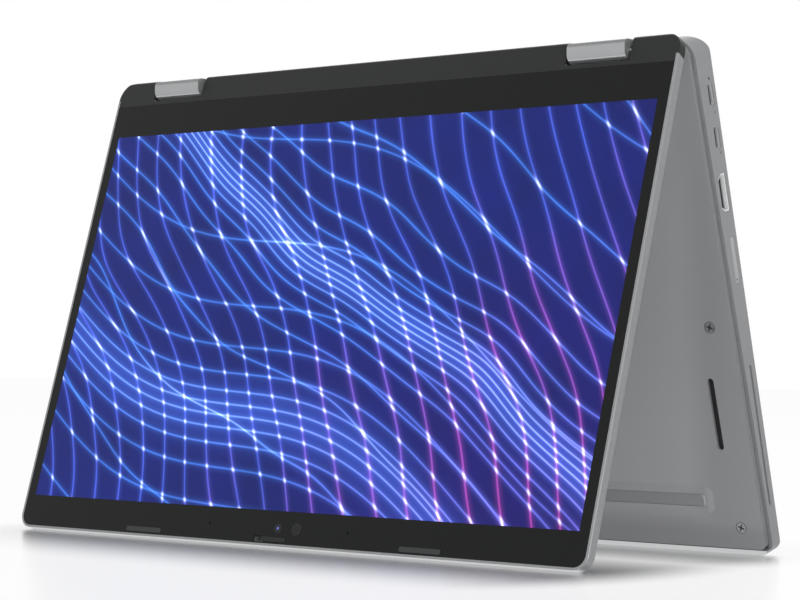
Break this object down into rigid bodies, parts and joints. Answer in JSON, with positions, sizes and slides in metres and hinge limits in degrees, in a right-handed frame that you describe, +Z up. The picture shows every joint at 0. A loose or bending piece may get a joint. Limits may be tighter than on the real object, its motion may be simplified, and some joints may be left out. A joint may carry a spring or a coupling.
{
  "type": "convertible laptop computer",
  "caption": "Slim two-in-one laptop folded into a tent: wide touch screen in front, keyboard base behind, geared double-axis hinges, side ports, long feet",
  "frame": {"origin": "bottom centre of the bounding box, on the floor under the tent", "axes": "+X along the hinge towards the side with the type-C ports, +Y from the screen towards the keyboard side, +Z up"},
  "size_m": [0.3058, 0.1294, 0.199],
  "materials": {
    "case_silver": "fine satin metallic paint",
    "cover_grey": "satin metallic paint",
    "dark_trim": "matt charcoal moulding",
    "black_plastic": "matt black",
    "key_plastic": "soft matt black keycap",
    "panel_glass": "laminated touch glass over a lit picture, taken as opaque",
    "screen_panel": "liquid crystal panel, lit",
    "lens_glass": "coated lens window",
    "hinge_silver": "satin metallic paint",
    "steel": "pressed and machined steel",
    "bronze": "sintered bronze",
    "copper": "flattened copper tube",
    "fin_metal": "folded aluminium strip",
    "foot_rubber": "matt grey rubber",
    "trim_rubber": "matt dark rubber",
    "board": "coated circuit board",
    "chip": "silicon and resin",
    "port_metal": "bright plated shell",
    "pad_glass": "etched satin glass on a plate",
    "cell_wrap": "wrapped pouch cells"
  },
  "bodies": {
    "base": {"palm_rest_frame": "case_silver", "bottom_cover": "cover_grey", "keyboard_frame": "black_plastic", "keyboard_plate": "steel", "membrane_sheet": "black_plastic", "touchpad_frame": "steel", "front_foot": "foot_rubber", "rear_foot": "foot_rubber", "cover_screws": "steel", "mainboard": "board", "processor": "chip", "heat_pipe": "copper", "cooling_fins": "fin_metal", "fan_housing": "black_plastic", "battery_pack": "cell_wrap", "solid_state_drive": "board", "wireless_card": "board", "speakers": "black_plastic", "type_c_ports": "port_metal", "video_port": "port_metal", "type_a_port": "port_metal", "audio_jack": "black_plastic", "memory_card_reader": "port_metal", "smart_card_reader": "port_metal", "base_hinge_brackets": "steel", "hinge_screws": "steel", "base_hinge_shafts": "steel", "base_shaft_gears": "bronze"},
    "hinge_links": {"hinge_covers": "hinge_silver", "hinge_carriers": "steel", "friction_sleeves": "bronze"},
    "lid": {"lid_back_cover": "case_silver", "display_panel": "screen_panel", "cover_glass": "panel_glass", "hinge_strip": "dark_trim", "camera_module": "board", "camera_windows": "lens_glass", "lid_bumpers": "trim_rubber", "lid_hinge_brackets": "steel", "display_cable": "black_plastic", "antennas": "copper", "lid_hinge_shafts": "steel", "lid_shaft_gears": "bronze"},
    "gear_base_side": {"idler_gears_base_side": "bronze"},
    "gear_lid_side": {"idler_gears_lid_side": "bronze"},
    "shutter": {"camera_shutter": "dark_trim"},
    "touchpad": {"touchpad": "pad_glass"},
    "fan": {"fan_rotor": "black_plastic"},
    "sim_tray": {"sim_tray": "case_silver"},
    "power_button": {"power_button": "key_plastic"},
    "function_keys": {"function_keys": "key_plastic"},
    "number_keys": {"number_keys": "key_plastic"},
    "upper_letter_keys": {"upper_letter_keys": "key_plastic"},
    "home_letter_keys": {"home_letter_keys": "key_plastic"},
    "lower_letter_keys": {"lower_letter_keys": "key_plastic"},
    "modifier_keys": {"modifier_keys": "key_plastic"},
    "arrow_keys": {"arrow_keys": "key_plastic"},
    "space_bar": {"space_bar": "key_plastic"},
    "enter_key": {"enter_key": "key_plastic"},
    "shift_keys": {"shift_keys": "key_plastic"}
  },
  "joints": [
    {"name": "base_hinge", "type": "hinge", "parent": "base", "child": "hinge_links", "pos_m": [0, 0.00383, 0.19383], "axis": [1, 0, 0], "range_deg": [-164.15, 15.85]},
    {"name": "lid_hinge", "type": "hinge", "parent": "hinge_links", "child": "lid", "pos_m": [0, -0.00637, 0.19388], "axis": [1, 0, 0], "range_deg": [-164.15, 15.85]},
    {"name": "base_side_idler", "type": "hinge", "parent": "hinge_links", "child": "gear_base_side", "pos_m": [0, 0.00043, 0.19385], "axis": [1, 0, 0], "range_deg": [-164.15, 15.85]},
    {"name": "lid_side_idler", "type": "hinge", "parent": "hinge_links", "child": "gear_lid_side", "pos_m": [0, -0.00297, 0.19386], "axis": [-1, 0, 0], "range_deg": [-164.15, 15.85]},
    {"name": "shutter_slide", "type": "slide", "parent": "lid", "child": "shutter", "axis": [-1, 0, 0], "range_m": [0, 0.004]},
    {"name": "touchpad_press", "type": "hinge", "parent": "base", "child": "touchpad", "pos_m": [0, 0.04507, 0.0685], "axis": [-1, 0, 0], "range_deg": [0, 0.4], "stiffness_Nm_per_rad": 30, "springref_deg": -0.23},
    {"name": "fan_spin", "type": "hinge", "parent": "base", "child": "fan", "pos_m": [-0.068, 0.01564, 0.15144], "axis": [0, 0.9633, 0.2683], "continuous": true},
    {"name": "sim_tray_slide", "type": "slide", "parent": "base", "child": "sim_tray", "axis": [1, 0, 0], "range_m": [0, 0.016]},
    {"name": "power_press", "type": "slide", "parent": "base", "child": "power_button", "axis": [0, -0.9633, -0.2683], "range_m": [0, 0.0008], "stiffness_N_per_m": 900, "springref_m": -0.0008},
    {"name": "function_press", "type": "slide", "parent": "base", "child": "function_keys", "axis": [0, -0.9633, -0.2683], "range_m": [0, 0.0012], "stiffness_N_per_m": 500, "springref_m": -0.001},
    {"name": "number_press", "type": "slide", "parent": "base", "child": "number_keys", "axis": [0, -0.9633, -0.2683], "range_m": [0, 0.0012], "stiffness_N_per_m": 500, "springref_m": -0.001},
    {"name": "upper_letter_press", "type": "slide", "parent": "base", "child": "upper_letter_keys", "axis": [0, -0.9633, -0.2683], "range_m": [0, 0.0012], "stiffness_N_per_m": 500, "springref_m": -0.001},
    {"name": "home_letter_press", "type": "slide", "parent": "base", "child": "home_letter_keys", "axis": [0, -0.9633, -0.2683], "range_m": [0, 0.0012], "stiffness_N_per_m": 500, "springref_m": -0.001},
    {"name": "lower_letter_press", "type": "slide", "parent": "base", "child": "lower_letter_keys", "axis": [0, -0.9633, -0.2683], "range_m": [0, 0.0012], "stiffness_N_per_m": 500, "springref_m": -0.001},
    {"name": "modifier_press", "type": "slide", "parent": "base", "child": "modifier_keys", "axis": [0, -0.9633, -0.2683], "range_m": [0, 0.0012], "stiffness_N_per_m": 500, "springref_m": -0.001},
    {"name": "arrow_press", "type": "slide", "parent": "base", "child": "arrow_keys", "axis": [0, -0.9633, -0.2683], "range_m": [0, 0.0012], "stiffness_N_per_m": 500, "springref_m": -0.001},
    {"name": "space_press", "type": "slide", "parent": "base", "child": "space_bar", "axis": [0, -0.9633, -0.2683], "range_m": [0, 0.0012], "stiffness_N_per_m": 500, "springref_m": -0.001},
    {"name": "enter_press", "type": "slide", "parent": "base", "child": "enter_key", "axis": [0, -0.9633, -0.2683], "range_m": [0, 0.0012], "stiffness_N_per_m": 500, "springref_m": -0.001},
    {"name": "shift_press", "type": "slide", "parent": "base", "child": "shift_keys", "axis": [0, -0.9633, -0.2683], "range_m": [0, 0.0012], "stiffness_N_per_m": 500, "springref_m": -0.001}
  ],
  "couplings": [
    {"joint": "lid_hinge", "follows": "base_hinge", "ratio": 1},
    {"joint": "base_side_idler", "follows": "base_hinge", "ratio": 1},
    {"joint": "lid_side_idler", "follows": "base_hinge", "ratio": 1}
  ]
}
